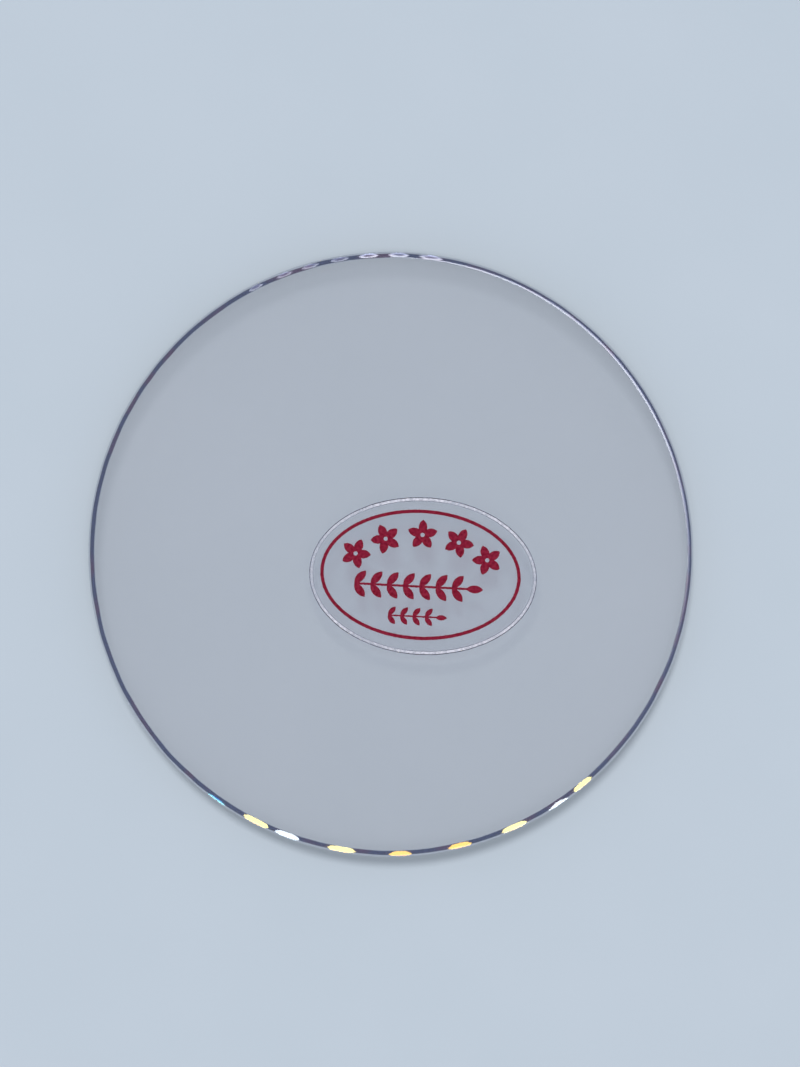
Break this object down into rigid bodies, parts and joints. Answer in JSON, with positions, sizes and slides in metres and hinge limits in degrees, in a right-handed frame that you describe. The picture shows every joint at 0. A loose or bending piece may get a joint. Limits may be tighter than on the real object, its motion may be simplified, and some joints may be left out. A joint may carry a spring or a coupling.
{
  "type": "watch crystal",
  "caption": "Flat round watch crystal with bevelled edges and a clear oval label on its outer face.",
  "frame": {"origin": "centre of the inner face, which the disc lies on", "axes": "+Z along the optical axis out of the watch, +X to the right and +Y to twelve o'clock for someone reading the label"},
  "size_m": [0.032, 0.032, 0.0016],
  "materials": {
    "crystal": "polished synthetic sapphire, colourless, refractive index 1.77",
    "adhesive": "clear pressure-sensitive acrylic adhesive",
    "film": "clear polyester film, die-cut edge slightly frosted",
    "ink": "crimson screen-printing ink"
  },
  "bodies": {
    "root": {"crystal_disc": "crystal", "label_adhesive": "adhesive", "label_film": "film", "ink_ring": "ink", "ink_florets": "ink", "ink_long_sprig": "ink", "ink_short_sprig": "ink"}
  },
  "joints": []
}
